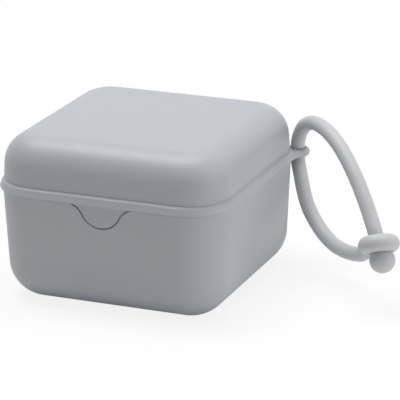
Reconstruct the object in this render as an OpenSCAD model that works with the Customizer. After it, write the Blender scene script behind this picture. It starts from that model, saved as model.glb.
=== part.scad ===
// Pacifier sterilizer case: a square cup with soft corners, a lid hinged at the back,
// a bell-shaped front tab, and a looped silicone strap through a lug at one corner.
// Front is -Y, up is +Z, and the origin is the centre of the flat underside.

/* [Case] */
// width of the case across its flats, at the joint line
case_w = 85; // [70:0.5:110]
// height of the closed case
case_h = 59.5; // [50:0.5:80]
// height of the lid above the joint line, where its wall meets the top of its rim bead
lid_h = 16.3; // [12.3:0.5:25]
// corner radius seen from above, at the joint line
corner_r = 15.6; // [14:0.1:24]

/* [Base] */
// lean of the base's wall, in degrees from upright
base_draft = 2.8; // [0:0.1:5]
// radius of the round edge between the base's wall and its floor
base_round = 13.4; // [4:0.1:13.8]
// wall and floor thickness of the base
base_wall = 2.8; // [1.6:0.1:3.4]
// height of the rim that stands up inside the lid's skirt
rim_rise = 3.2; // [2:0.1:6]
// height of the four ribs that hold the pacifiers off the floor
rib_h = 3; // [1:0.5:6]
// thickness of those ribs
rib_t = 1.6; // [1:0.1:3]
// length of those ribs
rib_len = 26; // [10:1:40]

/* [Lid] */
// lean of the lid's wall, in degrees from upright
lid_draft = 3.9; // [0:0.1:14]
// how far the lid's wall is set back behind the base's at the joint line
lid_step = 0.5; // [0:0.1:1]
// radius of the round edge between the lid's wall and its top, if the lid is high enough for it
lid_round = 11; // [4:0.5:12]
// wall and top thickness of the lid
lid_wall = 2.2; // [1.4:0.1:3]
// height of the rim bead
bead_h = 3.3; // [2.6:0.1:5]
// how far the bead's upper ridge stands out from the base's wall
ridge_out = 0.35; // [0.1:0.05:0.8]
// drop of that ridge below the joint line
ridge_drop = 1; // [0.5:0.1:1.4]
// how far the bead's lower lip stands out from the base's wall
lip_out = 0.95; // [0.5:0.05:1.5]
// radius of that lip
lip_r = 0.45; // [0.3:0.05:0.6]
// height of that lip's middle above the bead's lower edge
lip_up = 0.75; // [0.6:0.05:1]
// thickness of the lid's skirt behind the bead
skirt_t = 1.45; // [1:0.05:2]

/* [Front tab] */
// half width of the tab where it leaves the rim bead
tab_half_w = 12.8; // [9:0.1:20]
// how far the tab reaches below the base's shoulder
tab_drop = 8.1; // [5:0.1:12]
// radius of the tab's round tip
tab_tip_r = 7.8; // [5:0.1:10]
// depth of the pocket that the tab lies in
tab_pocket = 0.9; // [0.8:0.1:1.8]
// open line between the tab's edge and the pocket's edge
tab_gap = 0.45; // [0.2:0.05:0.8]

/* [Hinge] */
// distance of the hinge's axis behind the lid's back wall
hinge_back = 3.5; // [3:0.1:6]
// drop of the hinge's axis below the base's shoulder
hinge_drop = 0.9; // [0.6:0.1:2]
// radius of the hinge's knuckles
knuckle_r = 2.4; // [2:0.1:4]
// length of the lid's middle knuckle
lid_knuckle = 16.4; // [8:0.2:30]
// length of each of the base's two knuckles
base_knuckle = 6; // [3:0.5:12]
// radius of the hinge pin
pin_r = 1.25; // [0.8:0.05:1.6]
// radial play of the pin in the lid's knuckle
pin_play = 0.05; // [0.01:0.01:0.1]

/* [Strap lug] */
// how far the strap hole's axis lies inside the right face
lug_in_x = 1.2; // [0:0.1:4]
// how far the strap hole's axis lies inside the back face
lug_in_y = 2.9; // [0:0.1:6]
// drop of the lug's middle below the joint line
lug_drop = 3; // [1.2:0.1:4]
// outer radius of the lug
lug_r = 4.3; // [3.8:0.1:6]
// thickness of the lug
lug_t = 3.2; // [2:0.1:4]
// radial play of the strap in the lug's hole
strap_play = 0.3; // [0.2:0.05:0.6]

/* [Strap] */
// thickness of the round silicone strap
strap_d = 5.2; // [3:0.1:6]
// outer diameter of the strap's eye
eye_d = 14.5; // [12:0.1:20]
// thickness of the eye's round band
eye_band = 6.1; // [4:0.1:7]
// lean of the eye's axis from upright, in degrees
eye_tilt = 30; // [0:1:40]
// direction that the eye's axis leans in, in degrees from +X towards +Y
eye_turn = 122; // [0:1:360]
// diameter of the round button that holds the eye
button_d = 9; // [7:0.1:12]
// thickness of the neck between the strap's end and the button
neck_d = 2.6; // [2:0.1:3.2]
// open space between the eye and what goes through it
eye_play = 0.1; // [0.05:0.05:0.3]

/* [Fits] */
// open joint between the lid and the base, up and down
lid_gap = 0.1; // [0.05:0.05:0.3]
// open joint between the base's rim and the lid's skirt, sideways
skirt_gap = 0.15; // [0.1:0.05:0.4]
// open joint between neighbouring hinge knuckles
knuckle_gap = 0.2; // [0.1:0.05:0.5]

/* [Hidden] */
$fn = 96;
// height of the joint line
joint_z = case_h - lid_h;
// round edge of the lid, which leaves some straight wall below it
lid_edge = min(lid_round, lid_h - 1);
// centre of each rounded corner, along X and along Y
corner = case_w / 2 - corner_r;
// height of the base's shoulder, which the lid's skirt closes onto
shoulder_z = joint_z - bead_h - lid_gap;
// underside of the lid's skirt
skirt_z = joint_z - bead_h;
// top of the base's rim, and the lid's ledge just above it
rim_top = shoulder_z + rim_rise;
ledge_z = rim_top + lid_gap;
// distances out from a corner's centre
skirt_in = corner_r - skirt_t;
rim_out = skirt_in - skirt_gap;
// room for cuts that run past a face
over = 1;
// depth that a tab, lug, rib or arm runs into the wall that it grows from
weld = 0.6;
// hinge axis
hinge_y = case_w / 2 + hinge_back;
hinge_z = shoulder_z - hinge_drop + lid_gap;
// strap hole
lug_x = case_w / 2 - lug_in_x;
lug_y = case_w / 2 - lug_in_y;
lug_z = joint_z - lug_drop;
lug_turn = atan2(lug_y - corner, lug_x - corner);
lug_reach = norm([lug_x - corner, lug_y - corner]);
// flare radius that runs smoothly from the bead into the tab's tip
tab_flare_r = (tab_half_w * tab_half_w + tab_drop * tab_drop) / (2 * tab_drop) - tab_tip_r;
// thickness of the tab, which clears its pocket by the skirt's gap
tab_t = tab_pocket - skirt_gap;

// the strap's centre line from the strap hole's centre, from the button's end round to the eye
strap_route = [
    [43.2, -39.4, -14.4], [42.5, -39, -12.5], [40.7, -37, -9.9], [39.1, -35.5, -7.1],
    [37.3, -34, -4.3], [35.4, -32.2, -1.6], [33.4, -30.4, 1.1], [31.2, -28.5, 3.7],
    [28.9, -26.4, 6.1], [26.3, -24.1, 8.4], [23.6, -21.6, 10.6], [20.3, -18.7, 12.4],
    [16.7, -15.4, 13.9], [12.2, -11.4, 14.5], [9.6, -9, 14.2], [6.8, -6.5, 13.3],
    [4.2, -4.1, 11.5], [2.4, -2.5, 9.2], [1.2, -1.4, 6.8], [0.3, -0.5, 4.3],
    [0, 0, 2.2], [0, 0, 0], [0, 0, -2], [0.4, -0.9, -3.8],
    [1.5, -2.6, -5.3], [2.5, -4.1, -7], [3.3, -5.2, -8.7], [4.6, -6.6, -12],
    [5.8, -7.5, -15.2], [7.2, -8.5, -17.9], [9.6, -10.1, -20.9], [13.9, -13.7, -24.1],
    [17.4, -16.6, -25.7], [21.3, -20.1, -26.7], [26.2, -24.5, -26.6], [31.5, -29.3, -25.5],
    [34.7, -32.1, -24.4], [37, -34.1, -23.3], [38, -34.9, -21.8]
];
strap_sides = 12;
// how far the strap's end stands off the eye's centre, and the button's centre beyond it
eye_below_end = 2.7;
button_below_end = 8.25;
// how far the eye's centre lies off the button's axis
eye_shift = [0.2, 0.1, 0];
// length of the eye's root, from the strap's end to the middle of the eye's band
eye_root = 5.2;

case_grey = [0.71, 0.72, 0.74];
strap_grey = [0.76, 0.76, 0.77];

function unit(v) = v / norm(v);
// direction of the route at point i
function heading(p, i) = unit(p[min(i + 1, len(p) - 1)] - p[max(i - 1, 0)]);
// level direction across the strap's loop, which its section is squared to
across_loop = unit([-strap_route[0][1], strap_route[0][0], 0]);
function ring_at(p, i, r) =
    let (t = heading(p, i), u = unit(cross(across_loop, t)), v = cross(t, u))
    [for (k = [0:strap_sides - 1])
        let (a = 360 * k / strap_sides) p[i] + r * cos(a) * u + r * sin(a) * v];

// strap ends: the button end points up the strap, the eye end points along it into the eye
button_axis = unit(strap_route[1] - strap_route[0]);
eye_entry = unit(strap_route[len(strap_route) - 1] - strap_route[len(strap_route) - 2]);

// sets the children's +Z along v
module point_along(v) {
    rotate([0, acos(v[2] / norm(v)), atan2(v[1], v[0])]) children();
}

// carries a profile, drawn as distance out from a corner's centre against height,
// round the square of corner centres
module round_the_case(z_low, z_high) {
    for (turn = [0:90:270]) rotate(turn) translate([corner, corner, 0]) {
        rotate_extrude(angle = 90) children();
        rotate([90, 0, 0]) linear_extrude(2 * corner) children();
    }
    translate([-corner, -corner, z_low]) cube([2 * corner, 2 * corner, z_high - z_low]);
}

// distance of the base's outer wall from a corner's centre at height z
function base_out(z) = corner_r - (joint_z - z) * tan(base_draft);
// the same for the lid's outer wall
function lid_out(z) = corner_r - lid_step - (z - joint_z) * tan(lid_draft);

// section of a cup with a leaning wall and a round lower edge, as thick as inset inwards
module cup_profile(inset, z_top) {
    mid = base_out(base_round) - base_round / cos(base_draft);
    r = base_round - inset;
    wall_in = inset / cos(base_draft);
    polygon([[0, inset], [mid, inset], [mid, base_round],
        [mid + r * cos(base_draft), base_round - r * sin(base_draft)],
        [base_out(z_top) - wall_in, z_top], [0, z_top]]);
    intersection() {
        translate([mid, base_round]) circle(r);
        square([corner_r, base_round]);
    }
}

// section of the lid above height z_low, as thick as inset inwards
module lid_profile(inset, z_low) {
    start = case_h - lid_edge;
    mid = lid_out(start) - lid_edge / cos(lid_draft);
    r = lid_edge - inset;
    wall_in = inset / cos(lid_draft);
    polygon([[0, z_low], [lid_out(z_low) - wall_in, z_low],
        [mid + r * cos(lid_draft), start + r * sin(lid_draft)],
        [mid, start], [mid, case_h - inset], [0, case_h - inset]]);
    intersection() {
        translate([mid, start]) circle(r);
        translate([0, start]) square([corner_r, lid_edge]);
    }
}

// outline of the front tab, or of its pocket where grow is 0, with z = 0 at the shoulder
module tab_outline(grow, rise) {
    tip_z = tab_tip_r - tab_drop;
    flare_z = -tab_flare_r;
    reach = tab_tip_r + tab_flare_r;
    meet_z = tip_z + (flare_z - tip_z) * tab_tip_r / reach;
    difference() {
        union() {
            intersection() {
                translate([0, tip_z]) circle(tab_tip_r - grow);
                translate([-tab_half_w, -tab_drop]) square([2 * tab_half_w, tab_drop]);
            }
            translate([-tab_half_w, meet_z]) square([2 * tab_half_w, rise - meet_z]);
        }
        for (side = [-1, 1]) translate([side * tab_half_w, flare_z]) circle(tab_flare_r + grow);
    }
}

// cuts or fills the tab's outline between two depths behind the base's front wall
module behind_front(out_to, in_to, grow, rise) {
    translate([0, -case_w / 2, joint_z]) rotate([base_draft, 0, 0])
        translate([0, in_to, shoulder_z - joint_z]) rotate([90, 0, 0])
            linear_extrude(in_to - out_to) tab_outline(grow, rise);
}

// a cylinder along the hinge's axis between two places on X
module hinge_rod(r, x_low, x_high) {
    translate([x_low, hinge_y, hinge_z]) rotate([0, 90, 0]) cylinder(r = r, h = x_high - x_low);
}

// one of the base's two knuckles with the arm that carries it
module base_ear() {
    x_low = lid_knuckle / 2 + knuckle_gap;
    hinge_rod(knuckle_r, x_low, x_low + base_knuckle);
    arm_top = shoulder_z - lid_gap;
    translate([x_low, case_w / 2 - over, hinge_z - knuckle_r])
        cube([base_knuckle, hinge_back + over, arm_top - hinge_z + knuckle_r]);
}

module base() {
    color(case_grey) {
        difference() {
            union() {
                round_the_case(0, shoulder_z) cup_profile(0, shoulder_z);
                round_the_case(base_round, rim_top)
                    translate([0, base_round]) square([rim_out, rim_top - base_round]);
                base_ear();
                mirror([1, 0, 0]) base_ear();
            }
            round_the_case(base_wall, joint_z) cup_profile(base_wall, joint_z);
            behind_front(-over, tab_pocket, 0, over);
            hinge_rod(pin_r, -case_w / 2, case_w / 2);
        }
        for (turn = [45:90:315]) rotate(turn)
            translate([rib_len / 4, -rib_t / 2, base_wall - weld]) cube([rib_len, rib_t, rib_h + weld]);
    }
}

// bead round the lid's rim: it leans out from the crease under the lid's wall to a ridge, and on
// to a round lip a little above its lower edge
module bead_profile() {
    lip_x = corner_r + lip_out - lip_r;
    lip_z = skirt_z + lip_up;
    ridge_z = joint_z - ridge_drop;
    polygon([[0, skirt_z], [0, joint_z], [corner_r - lid_step, joint_z], [corner_r + ridge_out, ridge_z],
        [lip_x, lip_z + lip_r], [lip_x, lip_z - lip_r], [corner_r + skirt_gap, skirt_z]]);
    translate([lip_x, lip_z]) circle(lip_r);
}

// the lug: a flat tongue with a full-round edge, out of the bead at the strap's corner
module lug() {
    half = lug_t / 2;
    root = corner_r - weld;
    difference() {
        translate([corner, corner, lug_z]) rotate(lug_turn) {
            translate([lug_reach, 0, 0]) rotate_extrude() {
                translate([0, -half]) square([lug_r - half, lug_t]);
                intersection() {
                    translate([lug_r - half, 0]) circle(half);
                    translate([0, -half]) square([lug_r, lug_t]);
                }
            }
            translate([root, 0, 0]) rotate([90, 0, 90]) linear_extrude(lug_reach - root) {
                square([2 * (lug_r - half), lug_t], center = true);
                for (side = [-1, 1]) translate([side * (lug_r - half), 0]) circle(half);
            }
        }
        translate([corner, corner, lug_z - lug_t])
            cylinder(r = corner_r + skirt_gap, h = skirt_z - lug_z + lug_t);
    }
}

// the front tab: it fills the pocket's outline but for the open line round it, and its face hangs
// plumb from the base's shoulder, so that its tip stands a little proud of the leaning wall
module front_tab() {
    face = corner + base_out(shoulder_z);
    intersection() {
        behind_front(-over, tab_t, tab_gap, lid_gap + weld);
        translate([-case_w / 2, -face, 0]) cube([case_w, face, case_h]);
    }
}

module lid() {
    color(case_grey) difference() {
        union() {
            round_the_case(joint_z, case_h) lid_profile(0, joint_z);
            round_the_case(skirt_z, joint_z) bead_profile();
            front_tab();
            lug();
            hinge_rod(knuckle_r, -lid_knuckle / 2, lid_knuckle / 2);
            translate([-lid_knuckle / 2, case_w / 2 - weld, skirt_z])
                cube([lid_knuckle, hinge_back + weld, hinge_z + knuckle_r - skirt_z]);
        }
        round_the_case(ledge_z, case_h - lid_wall) lid_profile(lid_wall, ledge_z);
        round_the_case(skirt_z - over, ledge_z)
            translate([0, skirt_z - over]) square([skirt_in, ledge_z - skirt_z + over]);
        hinge_rod(pin_r + pin_play, -case_w / 2, case_w / 2);
        translate([lug_x, lug_y, lug_z - lug_t]) cylinder(r = strap_d / 2 + strap_play, h = 2 * lug_t);
    }
}

module hinge_pin() {
    half = lid_knuckle / 2 + knuckle_gap + base_knuckle;
    color(case_grey) hinge_rod(pin_r, -half, half);
}

// everything on the strap is placed from the strap hole's centre
module at_lug() {
    translate([lug_x, lug_y, lug_z]) children();
}

module strap_cord() {
    n = len(strap_route);
    s = strap_sides;
    points = [for (i = [0:n - 1]) each ring_at(strap_route, i, strap_d / 2)];
    walls = [for (i = [0:n - 2], k = [0:s - 1])
        let (a = i * s + k, b = i * s + (k + 1) % s) each [[a, b, a + s], [b, b + s, a + s]]];
    ends = [[for (k = [s - 1:-1:0]) k], [for (k = [0:s - 1]) (n - 1) * s + k]];
    color(strap_grey) at_lug() polyhedron(points, concat(walls, ends));
}

module strap_eye() {
    last = strap_route[len(strap_route) - 1];
    color(strap_grey) at_lug() difference() {
        union() {
            translate(strap_route[0] - eye_below_end * button_axis + eye_shift)
                rotate([0, eye_tilt, eye_turn]) rotate_extrude()
                    translate([(eye_d - eye_band) / 2, 0]) circle(eye_band / 2);
            translate(last) point_along(eye_entry) cylinder(d = strap_d, h = eye_root);
        }
        at_button() {
            sphere(d = button_d + 2 * eye_play);
            point_along(button_axis) {
                cylinder(d = neck_d + 2 * eye_play, h = button_below_end);
                translate([0, 0, button_below_end - eye_play])
                    cylinder(d = strap_d + 2 * eye_play, h = eye_band);
            }
        }
    }
}

// the button's centre, seen from the strap hole's centre
module at_button() {
    translate(strap_route[0] - button_below_end * button_axis) children();
}

module strap_button() {
    color(strap_grey) at_lug() at_button() {
        sphere(d = button_d);
        point_along(button_axis) cylinder(d = neck_d, h = button_below_end);
    }
}

base();
lid();
hinge_pin();
strap_cord();
strap_eye();
strap_button();
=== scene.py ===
"""Pacifier sterilizer case: a soft-cornered square case with a hinged lid, a bell-shaped front
tab and a silicone strap looped through a lug at one corner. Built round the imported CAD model."""

import math

import bmesh
import bpy
from mathutils import Matrix, Vector


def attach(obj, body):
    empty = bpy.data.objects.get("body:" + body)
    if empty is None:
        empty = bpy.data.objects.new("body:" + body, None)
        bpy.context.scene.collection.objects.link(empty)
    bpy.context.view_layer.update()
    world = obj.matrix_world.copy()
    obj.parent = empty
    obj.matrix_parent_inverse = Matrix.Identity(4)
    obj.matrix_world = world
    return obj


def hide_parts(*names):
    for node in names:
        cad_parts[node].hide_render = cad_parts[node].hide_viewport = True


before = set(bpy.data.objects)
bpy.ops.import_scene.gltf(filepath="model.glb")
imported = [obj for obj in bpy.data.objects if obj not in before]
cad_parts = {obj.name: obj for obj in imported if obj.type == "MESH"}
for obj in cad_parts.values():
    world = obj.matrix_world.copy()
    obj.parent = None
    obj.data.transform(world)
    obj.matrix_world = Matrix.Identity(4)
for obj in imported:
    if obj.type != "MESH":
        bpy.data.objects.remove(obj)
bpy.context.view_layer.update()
MM = 0.001

# Camera: the photographer's place, in front, a little to the right and above, with a long lens.
# It was found by fitting the case's outline, so it has no shift.
camera_place = Vector((334.62, -762.64, 310.25)) * MM
camera_aim = Vector((19.22, 0.07, 31.35)) * MM
camera_roll = math.radians(-0.5178)
camera_data = bpy.data.cameras.new("camera")
camera_data.sensor_width = 36
camera_data.lens = 222.87
camera_data.clip_start = 0.05
camera_data.clip_end = 20
camera = bpy.data.objects.new("camera", camera_data)
aimed = (camera_aim - camera_place).to_track_quat("-Z", "Y").to_matrix().to_4x4()
camera.matrix_world = Matrix.Translation(camera_place) @ aimed @ Matrix.Rotation(camera_roll, 4, "Z")
bpy.context.scene.collection.objects.link(camera)
bpy.context.scene.camera = camera


# Strap cord: one length of soft round silicone, about 5 mm thick, pulled through the lug's hole
# and back to its own start. Moulded in one piece with its eye and its button, and left matte.
class Socket:
    """A shader value that takes part in Python arithmetic. Each sum adds its own Math node."""

    def __init__(self, finish, link):
        self.finish = finish
        self.link = link

    def math(self, operation, *values):
        return self.finish.node("Math", {"operation": operation}, *values)

    def __add__(self, other):
        return self.math("ADD", self, other)

    def __mul__(self, other):
        return self.math("MULTIPLY", self, other)

    __radd__ = __add__
    __rmul__ = __mul__


class Finish:
    """The nodes of a material, or of the room. node() adds one node and gives back an output."""

    def __init__(self, name, kind=bpy.data.materials, shader="Principled BSDF"):
        self.material = kind.new(name)
        self.material.use_nodes = True
        self.nodes = self.material.node_tree.nodes
        self.links = self.material.node_tree.links
        self.shader = self.nodes[shader]

    def plug(self, socket, value):
        if isinstance(value, Socket):
            self.links.new(value.link, socket)
        else:
            socket.default_value = value

    def node(self, kind, settings, *values, output=0, **named):
        made = self.nodes.new("ShaderNode" + kind)
        for key, value in settings.items():
            setattr(made, key, value)
        for index, value in enumerate(values):
            if value is not None:
                self.plug(made.inputs[index], value)
        for key, value in named.items():
            self.plug(made.inputs[key.replace("_", " ")], value)
        return Socket(self, made.outputs[output])

    def set(self, **named):
        for key, value in named.items():
            self.plug(self.shader.inputs[key.replace("_", " ")], value)

    def noise(self, place, scale, detail):
        return self.node("TexNoise", {}, Vector=place, Scale=scale, Detail=detail)

    def tones(self, share, first, second):
        """A colour between two tones, by a varying share."""
        made = self.node("Mix", {"data_type": "RGBA"}, share, output=2)
        made.link.node.inputs[6].default_value = (*first, 1)
        made.link.node.inputs[7].default_value = (*second, 1)
        return made

    def cover(self, share, over):
        """Shows another shader over the finish's own one, by a share."""
        own = self.shader.outputs[0]
        way_out = own.links[0].to_socket
        self.plug(way_out, self.node("MixShader", {}, share, Socket(self, own), over))


silicone = Finish("strap_silicone")
silicone_place = silicone.node("TexCoord", {}, output="Object")
silicone_cloud = silicone.noise(silicone_place, 70, 3)
silicone_grain = silicone.noise(silicone_place, 2400, 2)
silicone.set(
    Base_Color=silicone.tones(silicone_cloud, (0.53, 0.54, 0.56), (0.555, 0.565, 0.585)),
    Roughness=silicone_cloud * 0.12 + 0.46,
    Normal=silicone.node("Bump", {}, Height=silicone_grain, Strength=0.05, Distance=0.00005),
    Sheen_Weight=0.08,
    Sheen_Roughness=0.5,
)


def fit_strap_piece(piece, node):
    """Gives a piece of the strap its silicone and its body, and hides the CAD node that it stands for.
    """
    piece.data.materials.clear()
    piece.data.materials.append(silicone.material)
    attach(piece, "strap_body")
    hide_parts(node)


lug_centre = Vector((41.3, 39.6, 40.2))
strap_route = [
    (43.2, -39.4, -14.4), (42.5, -39, -12.5), (40.7, -37, -9.9), (39.1, -35.5, -7.1),
    (37.3, -34, -4.3), (35.4, -32.2, -1.6), (33.4, -30.4, 1.1), (31.2, -28.5, 3.7),
    (28.9, -26.4, 6.1), (26.3, -24.1, 8.4), (23.6, -21.6, 10.6), (20.3, -18.7, 12.4),
    (16.7, -15.4, 13.9), (12.2, -11.4, 14.5), (9.6, -9, 14.2), (6.8, -6.5, 13.3),
    (4.2, -4.1, 11.5), (2.4, -2.5, 9.2), (1.2, -1.4, 6.8), (0.3, -0.5, 4.3),
    (0, 0, 2.2), (0, 0, 0), (0, 0, -2), (0.4, -0.9, -3.8),
    (1.5, -2.6, -5.3), (2.5, -4.1, -7), (3.3, -5.2, -8.7), (4.6, -6.6, -12),
    (5.8, -7.5, -15.2), (7.2, -8.5, -17.9), (9.6, -10.1, -20.9), (13.9, -13.7, -24.1),
    (17.4, -16.6, -25.7), (21.3, -20.1, -26.7), (26.2, -24.5, -26.6), (31.5, -29.3, -25.5),
    (34.7, -32.1, -24.4), (37, -34.1, -23.3), (38, -34.9, -21.8),
]
strap_thickness = 5.2
strap_places = [lug_centre + Vector(p) for p in strap_route]
strap_points = [place * MM for place in strap_places]
strap_length = sum((b - a).length for a, b in zip(strap_points, strap_points[1:]))

strap_curve = bpy.data.curves.new("strap_tube", "CURVE")
strap_curve.dimensions = "3D"
strap_curve.bevel_depth = strap_thickness / 2 * MM
strap_curve.bevel_resolution = 12
strap_curve.use_fill_caps = True
strap_spline = strap_curve.splines.new("NURBS")
strap_spline.points.add(len(strap_points) - 1)
for point, place in zip(strap_spline.points, strap_points):
    point.co = (*place, 1)
strap_spline.order_u = 4
strap_spline.use_endpoint_u = True
strap_spline.resolution_u = 8
strap_cord = bpy.data.objects.new("strap_tube", strap_curve)
bpy.context.scene.collection.objects.link(strap_cord)
fit_strap_piece(strap_cord, "strap_cord")


# Strap eye: the soft ring at the strap's end, moulded with it, so the strap runs into the ring
# with no edge. Its hole is stretched round the button's neck, and the button sits in its rim.
MERGE_WITHIN = 0.001
SHARP_FROM = 35


def points_of(geometry):
    return [g for g in geometry if isinstance(g, bmesh.types.BMVert)]


def edges_of(geometry):
    return [g for g in geometry if isinstance(g, bmesh.types.BMEdge)]


class Section:
    """A section drawn with a pen in the XZ plane, in millimetres, point after point."""

    def __init__(self, x, z):
        self.mesh = bmesh.new()
        self.pen = self.mesh.verts.new((x, 0, z))

    def line(self, x, z, rounded=0.0):
        """Draws to a point, and rounds the corner that the line started from."""
        corner_point = self.pen
        self.pen = bmesh.ops.extrude_vert_indiv(self.mesh, verts=[self.pen])["verts"][0]
        self.pen.co = (x, 0, z)
        if rounded:
            bmesh.ops.bevel(
                self.mesh, geom=[corner_point], offset=rounded, offset_type="OFFSET", segments=4,
                profile=0.5, affect="VERTICES", material=-1,
            )

    def arc(self, x, z, degrees, steps):
        """Draws an arc round (x, z), anticlockwise as seen from the front."""
        spun = bmesh.ops.spin(
            self.mesh, geom=[self.pen], cent=(x, 0, z), axis=(0, -1, 0),
            angle=math.radians(degrees), steps=steps, use_duplicate=False,
        )
        self.pen = points_of(spun["geom_last"])[0]

    def close(self):
        """Joins the two ends and fills the outline."""
        bmesh.ops.remove_doubles(self.mesh, verts=self.mesh.verts, dist=MERGE_WITHIN)
        ends = [v for v in self.mesh.verts if len(v.link_edges) == 1]
        if ends:
            bmesh.ops.contextual_create(self.mesh, geom=ends)
        bmesh.ops.contextual_create(self.mesh, geom=self.mesh.edges[:])


def turned_round(section, placed):
    """Spins a section a full turn about +Z, then puts it in place."""
    mesh = section.mesh
    bmesh.ops.spin(
        mesh, geom=mesh.verts[:] + mesh.edges[:], cent=(0, 0, 0), axis=(0, 0, 1),
        angle=math.radians(360), steps=72, use_merge=True, use_duplicate=False,
    )
    bmesh.ops.remove_doubles(mesh, verts=mesh.verts, dist=MERGE_WITHIN)
    bmesh.ops.recalc_face_normals(mesh, faces=mesh.faces)
    bmesh.ops.transform(mesh, verts=mesh.verts, matrix=placed)
    return mesh


def shade(data, sharp_from):
    """Shades a mesh smooth, but for its edges from an angle upwards."""
    data.shade_smooth()
    data.set_sharp_from_angle(angle=math.radians(sharp_from))


def piece_from(mesh, name):
    """Makes an object of a bmesh, in metres, shaded smooth up to its sharp edges."""
    bmesh.ops.scale(mesh, verts=mesh.verts, vec=(MM, MM, MM))
    data = bpy.data.meshes.new(name)
    mesh.to_mesh(data)
    mesh.free()
    shade(data, SHARP_FROM)
    piece = bpy.data.objects.new(name, data)
    bpy.context.scene.collection.objects.link(piece)
    return piece


def settled(piece):
    """Puts the result of a piece's modifiers in its mesh."""
    result = piece.evaluated_get(bpy.context.evaluated_depsgraph_get())
    made = bpy.data.meshes.new_from_object(result)
    piece.modifiers.clear()
    piece.data = made


def join(piece, tool, operation="UNION"):
    """Joins a second piece to a piece, or cuts it out of the piece, and uses it up."""
    change = piece.modifiers.new("change", "BOOLEAN")
    change.operation = operation
    change.solver = "EXACT"
    change.object = tool
    settled(piece)
    bpy.data.objects.remove(tool)


def combine(piece, mesh, operation):
    """Joins a shape made in a bmesh to a piece, or cuts it out of the piece."""
    join(piece, piece_from(mesh, "tool"), operation)


def run_together(piece, grain, rounds):
    """Remeshes a piece in small squares and smooths it, so that its parts flow into each other."""
    skin = piece.modifiers.new("skin", "REMESH")
    skin.mode = "VOXEL"
    skin.voxel_size = grain * MM
    skin.use_smooth_shade = True
    soften = piece.modifiers.new("soften", "SMOOTH")
    soften.factor = 0.5
    soften.iterations = rounds
    settled(piece)


def along(direction, place):
    """Puts a shape that was made along +Z at a place, along a direction."""
    turn = direction.to_track_quat("Z", "Y").to_matrix().to_4x4()
    return Matrix.Translation(place) @ turn


strap_start, strap_second = strap_places[:2]
strap_before_end, strap_end = strap_places[-2:]
button_axis = (strap_second - strap_start).normalized()
eye_below_end = 2.7
eye_shift = Vector((0.2, 0.1, 0))
eye_place = strap_start - eye_below_end * button_axis + eye_shift
eye_tilt, eye_heading = math.radians(30), math.radians(122)
eye_turn = Matrix.Rotation(eye_heading, 4, "Z") @ Matrix.Rotation(eye_tilt, 4, "Y")
eye_width = 14.5
eye_band = 6.1
eye_round = (eye_width - eye_band) / 2
ring = Section(eye_round + eye_band / 2, 0)
ring.arc(eye_round, 0, 360, 40)
eye = piece_from(turned_round(ring, Matrix.Translation(eye_place) @ eye_turn), "strap_ring")
root_start, root_end = -0.8, 5.2
root = Section(0, root_start)
root.line(strap_thickness / 2, root_start)
root.line(strap_thickness / 2, root_end)
root.line(0, root_end)
combine(eye, turned_round(root, along(strap_end - strap_before_end, strap_end)), "UNION")
eye_grain, eye_rounds = 0.22, 10
run_together(eye, eye_grain, eye_rounds)

button_below_end = 8.25
button_place = strap_start - button_below_end * button_axis
button_round = 4.5
neck_round = 1.3
play = 0.1
seat = Section(0, -button_round - play)
seat.arc(0, 0, 180, 48)
combine(eye, turned_round(seat, along(button_axis, button_place)), "DIFFERENCE")
bore_end = 14
bore = Section(0, 0)
bore.line(neck_round + play, 0)
bore.line(neck_round + play, button_below_end - play)
bore.line(strap_thickness / 2 + play, button_below_end - play)
bore.line(strap_thickness / 2 + play, bore_end)
bore.line(0, bore_end)
combine(eye, turned_round(bore, along(button_axis, button_place)), "DIFFERENCE")
eye_sharp_from = 45
shade(eye.data, eye_sharp_from)
fit_strap_piece(eye, "strap_eye")

# Strap button: the knob at the strap's start, on a short thin neck. It is pushed through the eye
# and springs back to its full round shape, which closes the strap into its loop.
button_arc = 146
neck_start, neck_fillet = 4.9, 0.5
knob = Section(0, -button_round)
knob.arc(0, 0, button_arc, 40)
knob.line(neck_round, neck_start)
knob.line(neck_round, button_below_end, neck_fillet)
knob.line(0, button_below_end)
button = piece_from(turned_round(knob, along(button_axis, button_place)), "strap_knob")
fit_strap_piece(button, "strap_button")


# Base: the lower half of the case, a deep cup moulded in plain grey polypropylene, with a fine
# satin texture. A thin rim stands up inside the lid, and four ribs keep the pacifiers off the floor.
def carry_round_case(section):
    """Carries a section round the case: a quarter turn at a corner and a straight side, four
    times, and closes its two ends with flat squares."""
    mesh = section.mesh
    bmesh.ops.translate(mesh, verts=mesh.verts, vec=(corner, corner, 0))
    turned = bmesh.ops.spin(
        mesh, geom=mesh.verts[:] + mesh.edges[:], cent=(corner, corner, 0), axis=(0, 0, 1),
        angle=math.radians(90), steps=24, use_duplicate=False,
    )
    side = bmesh.ops.extrude_edge_only(mesh, edges=edges_of(turned["geom_last"]))["geom"]
    bmesh.ops.translate(mesh, verts=points_of(side), vec=(-2 * corner, 0, 0))
    quarter = mesh.verts[:] + mesh.edges[:] + mesh.faces[:]
    for turn in (90, 180, 270):
        copied = bmesh.ops.duplicate(mesh, geom=quarter)["geom"]
        around = Matrix.Rotation(math.radians(turn), 3, "Z")
        bmesh.ops.rotate(mesh, verts=points_of(copied), cent=(0, 0, 0), matrix=around)
    bmesh.ops.remove_doubles(mesh, verts=mesh.verts, dist=MERGE_WITHIN)
    bmesh.ops.holes_fill(mesh, edges=[e for e in mesh.edges if e.is_boundary], sides=0)
    bmesh.ops.recalc_face_normals(mesh, faces=mesh.faces)
    return mesh


def round_edges(mesh, width, segments, chosen=lambda edge: True):
    """Rounds the edges of a bmesh that chosen() picks."""
    bmesh.ops.bevel(
        mesh, geom=[e for e in mesh.edges if chosen(e)], offset=width, offset_type="OFFSET",
        segments=segments, profile=0.5, affect="EDGES", material=-1,
    )


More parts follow.
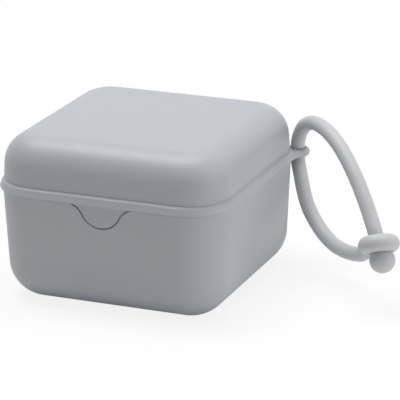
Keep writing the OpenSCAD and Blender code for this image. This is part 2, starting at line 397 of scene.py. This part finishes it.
def block(low, high, rounded):
    """A block between two corners, with all its edges rounded."""
    mesh = bmesh.new()
    bmesh.ops.create_cube(mesh, size=1)
    size = Vector(high) - Vector(low)
    bmesh.ops.scale(mesh, verts=mesh.verts, vec=size)
    bmesh.ops.translate(mesh, verts=mesh.verts, vec=(Vector(high) + Vector(low)) / 2)
    round_edges(mesh, rounded, segments=4)
    return mesh


def rod_along_x(radius, low, high, place, rounded):
    """A rod along X about a place in Y and Z, with rounded rims."""
    half = Section(0, low)
    half.line(radius, low)
    half.line(radius, high, rounded)
    half.line(0, high, rounded)
    lying = Matrix.Translation((0, *place)) @ Matrix.Rotation(math.radians(90), 4, "Y")
    return turned_round(half, lying)


def smooth_flats(piece):
    """Shades rounded edges without a trace on the flats beside them."""
    shade(piece.data, SHARP_FROM)
    even = piece.modifiers.new("even", "WEIGHTED_NORMAL")
    even.weight = 50
    even.keep_sharp = True
    settled(piece)


case_width = 85
corner_round = 15.6
corner = case_width / 2 - corner_round
joint = 43.2
skirt_bottom = 39.9
shoulder = 39.8
base_lean = 2.8
lean = math.radians(base_lean)
base_edge = 13.4
base_wall = 2.8
rim_top = 43
rim_out = 14
rim_foot, rim_outer, rim_inner = 0.25, 0.2, 0.35


def base_out(z):
    """The base's wall at a height, as a distance from a corner's centre."""
    return corner_round - (joint - z) * math.tan(lean)


edge_middle = base_out(base_edge) - base_edge / math.cos(lean)
inner_edge = base_edge - base_wall
wall_in = base_wall / math.cos(lean)
base_section = Section(0, 0)
base_section.line(edge_middle, 0)
base_section.arc(edge_middle, base_edge, 90 - base_lean, 24)
base_section.line(base_out(shoulder), shoulder)
base_section.line(rim_out, shoulder, rim_foot)
base_section.line(rim_out, rim_top, rim_outer)
base_section.line(base_out(rim_top) - wall_in, rim_top, rim_inner)
base_section.line(
    edge_middle + inner_edge * math.cos(lean), base_edge - inner_edge * math.sin(lean), rim_inner)
base_section.arc(edge_middle, base_edge, base_lean - 90, 20)
base_section.line(0, base_wall)
base = piece_from(carry_round_case(base_section), "base_cup")

hinge_axis = (46, 39)
hinge_y, hinge_z = hinge_axis
knuckle = 2.4
knuckle_from, knuckle_to = 8.4, 14.4
knuckle_soft = 0.3
pin_round = 1.25
drill_half = 20
ear_root, ear_top = 41, shoulder - 0.1
for side in (-1, 1):
    low, high = sorted((side * knuckle_from, side * knuckle_to))
    ear = block((low, ear_root, hinge_z - knuckle), (high, hinge_y, ear_top), knuckle_soft)
    combine(base, ear, "UNION")
    combine(base, rod_along_x(knuckle, low, high, hinge_axis, knuckle_soft), "UNION")
combine(base, rod_along_x(pin_round, -drill_half, drill_half, hinge_axis, 0), "DIFFERENCE")

rib_start, rib_end = 6.5, 32.5
rib_half, rib_soft = 0.8, 0.4
rib_root, rib_top = 2, 5.8
for turn in (45, 135, 225, 315):
    rib = block((rib_start, -rib_half, rib_root), (rib_end, rib_half, rib_top), rib_soft)
    around = Matrix.Rotation(math.radians(turn), 3, "Z")
    bmesh.ops.rotate(rib, verts=rib.verts, cent=(0, 0, 0), matrix=around)
    combine(base, rib, "UNION")

tab_half, tab_drop, tab_tip = 12.8, 8.1, 7.8
tab_flare = (tab_half ** 2 + tab_drop ** 2) / (2 * tab_drop) - tab_tip
tab_gap = 0.45
pocket_depth = 0.9
groove_soft = 0.32
groove_below = 0.3
touching = 0.005
past = 1


def tab_slab(gap, rise, depth):
    """The bell shape of the tab or of its pocket, as a slab through the base's leaning front wall."""
    tip_z = tab_tip - tab_drop
    turn = math.degrees(math.atan2(tip_z + tab_flare, tab_half))
    shape = Section(-tab_half, rise)
    shape.line(-tab_half, gap)
    shape.arc(-tab_half, -tab_flare, -(90 - turn), 16)
    shape.arc(0, tip_z, 180 - 2 * turn, 40)
    shape.arc(tab_half, -tab_flare, -(90 - turn), 16)
    shape.line(tab_half, rise)
    shape.close()
    mesh = shape.mesh
    slab = bmesh.ops.extrude_face_region(mesh, geom=mesh.faces[:])["geom"]
    bmesh.ops.translate(mesh, verts=mesh.verts, vec=(0, depth, 0))
    bmesh.ops.translate(mesh, verts=points_of(slab), vec=(0, -depth - past, 0))
    bmesh.ops.recalc_face_normals(mesh, faces=mesh.faces)
    in_wall = (
        Matrix.Translation((0, -case_width / 2, joint)) @ Matrix.Rotation(lean, 4, "X")
        @ Matrix.Translation((0, 0, shoulder - joint))
    )
    bmesh.ops.transform(mesh, verts=mesh.verts, matrix=in_wall)
    return mesh


def round_piece(piece, width, segments, chosen):
    """Rounds edges of a finished piece, as round_edges() does."""
    mesh = bmesh.new()
    mesh.from_mesh(piece.data)
    bmesh.ops.scale(mesh, verts=mesh.verts, vec=(1 / MM, 1 / MM, 1 / MM))
    round_edges(mesh, width, segments, chosen)
    bmesh.ops.scale(mesh, verts=mesh.verts, vec=(MM, MM, MM))
    mesh.to_mesh(piece.data)
    mesh.free()


def on_front_wall(point):
    """Whether a point lies on the base's leaning front wall, at the tab's pocket."""
    in_wall = abs(point.y + corner + base_out(point.z)) < touching
    return in_wall and abs(point.x) < tab_half and point.z < shoulder - groove_below


def pocket_rim(edge):
    """Whether an edge runs round the mouth of the tab's pocket."""
    return all(on_front_wall(v.co) for v in edge.verts) and edge.calc_face_angle(0) > 1


combine(base, tab_slab(0, past, pocket_depth), "DIFFERENCE")
round_piece(base, groove_soft, segments=3, chosen=pocket_rim)
smooth_flats(base)

plastic = Finish("case_plastic")
plastic_place = plastic.node("TexCoord", {}, output="Object")
plastic_cloud = plastic.noise(plastic_place, 45, 3)
plastic_grain = plastic.noise(plastic_place, 3200, 2)
plastic.set(
    Base_Color=plastic.tones(plastic_cloud, (0.42, 0.44, 0.475), (0.43, 0.45, 0.485)),
    Roughness=plastic_cloud * 0.08 + 0.41,
    Normal=plastic.node("Bump", {}, Height=plastic_grain, Strength=0.06, Distance=0.00004),
)


def fit_case_piece(piece, body, node):
    """Gives a piece of the case its plastic and its body, and hides the CAD node that it stands for."""
    piece.data.materials.clear()
    piece.data.materials.append(plastic.material)
    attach(piece, body)
    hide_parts(node)


fit_case_piece(base, "base_body", "base")

# Lid: the upper half, moulded in the same plastic. Its rim bead leans out over the base below a
# fine crease. The front tab, the strap's lug and the hinge's middle knuckle grow out of it.
case_top = 59.5
lid_wall = 2.2
lid_edge = 11
lid_step = 0.5
wall_lean = 3.9
lid_lean = math.radians(wall_lean)
skirt_gap = 0.15
skirt_in = corner_round - 1.45
skirt_rim, ledge_rim, lid_inner = 0.15, 0.25, 0.3
crease_round = 4.4
crease_lean = math.radians(20)
crease_start = joint + 1.9
bead_ridge, ridge_soft = (corner_round + 0.15, joint - 0.6), 0.15
bead_waist, waist_soft = (corner_round + 0.45, joint - 1.45), 0.2
lip, lip_soft = 0.45, 0.3
lip_x = corner_round + 0.95 - lip
lip_z = skirt_bottom + 0.6
lip_top = math.radians(27)


def lid_out(z):
    """The lid's wall at a height, as a distance from a corner's centre."""
    return corner_round - lid_step - (z - joint) * math.tan(lid_lean)


top_z = case_top - lid_edge
top_middle = lid_out(top_z) - lid_edge / math.cos(lid_lean)
inner_edge = lid_edge - lid_wall
ledge = rim_top + 0.1
lid_section = Section(0, case_top)
lid_section.line(top_middle, case_top)
lid_section.arc(top_middle, top_z, wall_lean - 90, 24)
lid_section.line(lid_out(crease_start), crease_start)
lid_section.arc(
    lid_out(crease_start) - crease_round * math.cos(lid_lean),
    crease_start - crease_round * math.sin(lid_lean), -math.degrees(lid_lean + crease_lean), 8)
lid_section.line(*bead_ridge, ridge_soft)
lid_section.line(*bead_waist, waist_soft)
lid_section.line(lip_x + lip * math.cos(lip_top), lip_z + lip * math.sin(lip_top), lip_soft)
lid_section.arc(lip_x, lip_z, -90 - math.degrees(lip_top), 10)
lid_section.line(corner_round + skirt_gap, skirt_bottom)
lid_section.line(skirt_in, skirt_bottom, skirt_rim)
lid_section.line(skirt_in, ledge, ledge_rim)
lid_section.line(lid_out(ledge) - lid_wall / math.cos(lid_lean), ledge, lid_inner)
lid_section.line(
    top_middle + inner_edge * math.cos(lid_lean), top_z + inner_edge * math.sin(lid_lean), lid_inner)
lid_section.arc(top_middle, top_z, 90 - wall_lean, 20)
lid_section.line(0, case_top - lid_wall)
lid = piece_from(carry_round_case(lid_section), "lid_shell")

tab_face = corner + base_out(shoulder)
tab_rise, tab_hidden = 0.7, 0.5
tab = tab_slab(tab_gap, tab_rise, pocket_depth - skirt_gap)
bmesh.ops.bisect_plane(
    tab, geom=tab.verts[:] + tab.edges[:] + tab.faces[:], dist=MERGE_WITHIN, plane_co=(0, -tab_face, 0),
    plane_no=(0, -1, 0), clear_outer=True,
)
bmesh.ops.holes_fill(tab, edges=[e for e in tab.edges if e.is_boundary], sides=0)
bmesh.ops.recalc_face_normals(tab, faces=tab.faces)


def tab_rim(edge):
    """Whether an edge of the tab's face lies below the bead."""
    in_face = all(abs(v.co.y + tab_face) < touching for v in edge.verts)
    return in_face and min(v.co.z for v in edge.verts) < shoulder + tab_hidden


round_edges(tab, groove_soft, segments=3, chosen=tab_rim)
combine(lid, tab, "UNION")

lug_bottom, lug_thickness = 38.6, 3.2
lug_round = 4.3
bead_round = corner_round + 0.9
lug_reach = math.hypot(lug_centre.x - corner, lug_centre.y - corner)
lug_turn = math.atan2(lug_centre.y - corner, lug_centre.x - corner)
lug_fillet = 6
lug_root = 12.5
lug_nose = 1.5
at_corner = Matrix.Translation((corner, corner, lug_bottom))


def lug_plate():
    """The lug: a nose carried round the strap's hole, and on into the bead by two hollow fillets."""
    far = bead_round + lug_fillet
    short = lug_round + lug_fillet
    side = math.acos((far ** 2 + lug_reach ** 2 - short ** 2) / (2 * far * lug_reach))
    fillet_x, fillet_y = far * math.cos(side), far * math.sin(side)
    ring_turn = math.atan2(fillet_y, fillet_x - lug_reach)
    nose = Section(lug_round - lug_nose, lug_thickness)
    nose.arc(lug_round - lug_nose, lug_thickness - lug_nose, -90, 6)
    nose.line(lug_round, lug_nose)
    nose.arc(lug_round - lug_nose, lug_nose, -90, 6)
    mesh = nose.mesh
    turned = Matrix.Rotation(-ring_turn, 3, "Z")
    bmesh.ops.rotate(mesh, verts=mesh.verts, cent=(0, 0, 0), matrix=turned)
    bmesh.ops.translate(mesh, verts=mesh.verts, vec=(lug_reach, 0, 0))

    def carried(wire, x, y, turn, steps):
        """Carries a wire round an upright axis and gives back where it ends."""
        spun = bmesh.ops.spin(
            mesh, geom=wire, cent=(x, y, 0), axis=(0, 0, 1), angle=turn, steps=steps,
            use_duplicate=False,
        )
        return spun["geom_last"]

    first = mesh.verts[:] + mesh.edges[:]
    last = carried(first, lug_reach, 0, 2 * ring_turn, 48)
    ends = {
        -1: carried(first, fillet_x, -fillet_y, ring_turn - side, 14),
        1: carried(last, fillet_x, fillet_y, side - ring_turn, 14),
    }
    for way, wire in ends.items():
        grown = bmesh.ops.extrude_edge_only(mesh, edges=edges_of(wire))["geom"]
        for vert in points_of(grown):
            vert.co.xy = lug_root, way * lug_root * math.tan(side)
    bmesh.ops.remove_doubles(mesh, verts=mesh.verts, dist=MERGE_WITHIN)
    for height in (0, lug_thickness):
        level = [v for v in mesh.verts if abs(v.co.z - height) < MERGE_WITHIN]
        near = [v for v in level if v.co.x < lug_root + MERGE_WITHIN]
        bmesh.ops.contextual_create(mesh, geom=near)
        rim = [e for e in mesh.edges if not e.is_manifold and all(v in level for v in e.verts)]
        bmesh.ops.contextual_create(mesh, geom=rim)
    bmesh.ops.holes_fill(mesh, edges=[e for e in mesh.edges if e.is_boundary], sides=0)
    bmesh.ops.recalc_face_normals(mesh, faces=mesh.faces)
    bmesh.ops.transform(mesh, verts=mesh.verts, matrix=at_corner @ Matrix.Rotation(lug_turn, 4, "Z"))
    return mesh


lug = piece_from(lug_plate(), "lug")
step_z = skirt_bottom - lug_bottom + 0.05
step_in = skirt_in + 0.4
behind_lug = Section(0, -past)
behind_lug.line(corner_round + skirt_gap, -past)
behind_lug.line(corner_round + skirt_gap, step_z)
behind_lug.line(step_in, step_z)
behind_lug.line(step_in, lug_thickness + past)
behind_lug.line(0, lug_thickness + past)
combine(lug, turned_round(behind_lug, at_corner), "DIFFERENCE")
join(lid, lug)

strap_play = 0.3
strap_hole = strap_thickness / 2 + strap_play
hole_rim = 0.4
hole = Section(0, -past)
hole.line(strap_hole + hole_rim, -past)
hole.line(strap_hole + hole_rim, 0)
hole.arc(strap_hole + hole_rim, hole_rim, -90, 6)
hole.line(strap_hole, lug_thickness - hole_rim)
hole.arc(strap_hole + hole_rim, lug_thickness - hole_rim, -90, 6)
hole.line(strap_hole + hole_rim, lug_thickness + past)
hole.line(0, lug_thickness + past)
at_hole = Matrix.Translation((lug_centre.x, lug_centre.y, lug_bottom))
combine(lid, turned_round(hole, at_hole), "DIFFERENCE")

lid_knuckle = 8.2
arm_root, arm_top = 41.5, hinge_z + knuckle
pin_play = 0.05
arm = block((-lid_knuckle, arm_root, skirt_bottom), (lid_knuckle, hinge_y, arm_top), knuckle_soft)
combine(lid, arm, "UNION")
combine(lid, rod_along_x(knuckle, -lid_knuckle, lid_knuckle, hinge_axis, knuckle_soft), "UNION")
pin_way = rod_along_x(pin_round + pin_play, -drill_half, drill_half, hinge_axis, 0)
combine(lid, pin_way, "DIFFERENCE")
smooth_flats(lid)
fit_case_piece(lid, "lid_body", "lid")

# Hinge pin: a plain rod of the same plastic, pressed into the base's two knuckles. The lid's
# middle knuckle turns on it, and its ends have a small chamfer to start it in the holes.
pin_soft = 0.25
pin_shape = rod_along_x(pin_round, -knuckle_to, knuckle_to, hinge_axis, pin_soft)
pin = piece_from(pin_shape, "hinge_rod")
fit_case_piece(pin, "base_body", "hinge_pin")

# Floor: a plain pale sheet that the case stands on, white to the camera as in the photograph,
# but with the case's own soft shadow, which fades out to pure white around the case.
floor_half = 0.34
floor_mesh = bmesh.new()
bmesh.ops.create_grid(floor_mesh, x_segments=1, y_segments=1, size=floor_half)
floor_data = bpy.data.meshes.new("floor")
floor_mesh.to_mesh(floor_data)
floor_mesh.free()
floor = bpy.data.objects.new("floor", floor_data)
bpy.context.scene.collection.objects.link(floor)
paper = Finish("floor_paper")
paper.set(Base_Color=(0.9, 0.9, 0.9, 1), Roughness=0.9)
camera_ray = paper.node("LightPath", {}, output="Is Camera Ray")
glossy_ray = paper.node("LightPath", {}, output="Is Glossy Ray")
through_ray = paper.node("LightPath", {}, output="Is Transmission Ray")
paper_place = paper.node("TexCoord", {}, output="Object")
from_middle = paper.node("VectorMath", {"operation": "LENGTH"}, paper_place, output="Value")
shadow_from, shadow_to = 0.08, 0.2
whitest_near, mirrored = 0.85, 0.3
fade = paper.node(
    "MapRange", {"interpolation_type": "SMOOTHSTEP"}, from_middle, shadow_from, shadow_to,
    whitest_near, 1.0,
)
seen = (camera_ray + through_ray) * fade + glossy_ray * mirrored
paper.cover(seen, paper.node("Emission", {}, (1, 1, 1, 1), 1.0))
floor_data.materials.append(paper.material)

# Light: a pale room that is white where it is seen, and a few soft boxes round the case.
room = Finish("room", bpy.data.worlds, "Background")
bpy.context.scene.world = room.material
room.set(Color=(1, 1, 1, 1), Strength=0.176)
room_seen = (
    room.node("LightPath", {}, output="Is Camera Ray")
    + room.node("LightPath", {}, output="Is Glossy Ray")
    + room.node("LightPath", {}, output="Is Transmission Ray")
)
room.cover(room_seen, room.node("Background", {}, (1, 1, 1, 1), 1.0))

lamp_aim = Vector((0, 0, 0.03))


def soft_box(name, place, width, power, colour=(1, 1, 1)):
    """A square soft box that looks at the case."""
    data = bpy.data.lights.new(name, "AREA")
    data.shape = "SQUARE"
    data.size = width
    data.energy = power
    data.color = colour
    lamp = bpy.data.objects.new(name, data)
    lamp.location = place
    lamp.rotation_euler = (lamp_aim - lamp.location).to_track_quat("-Z", "Y").to_euler()
    bpy.context.scene.collection.objects.link(lamp)


soft_box("overhead", (0, 0.2, 1.21), 0.9, 8.7, (1, 0.975, 0.965))
soft_box("left", (-0.41, 0, 1.16), 0.5, 5.4)
soft_box("right", (1.14, 0, 0.4), 0.9, 4.8)

bpy.context.scene.view_settings.view_transform = "Standard"
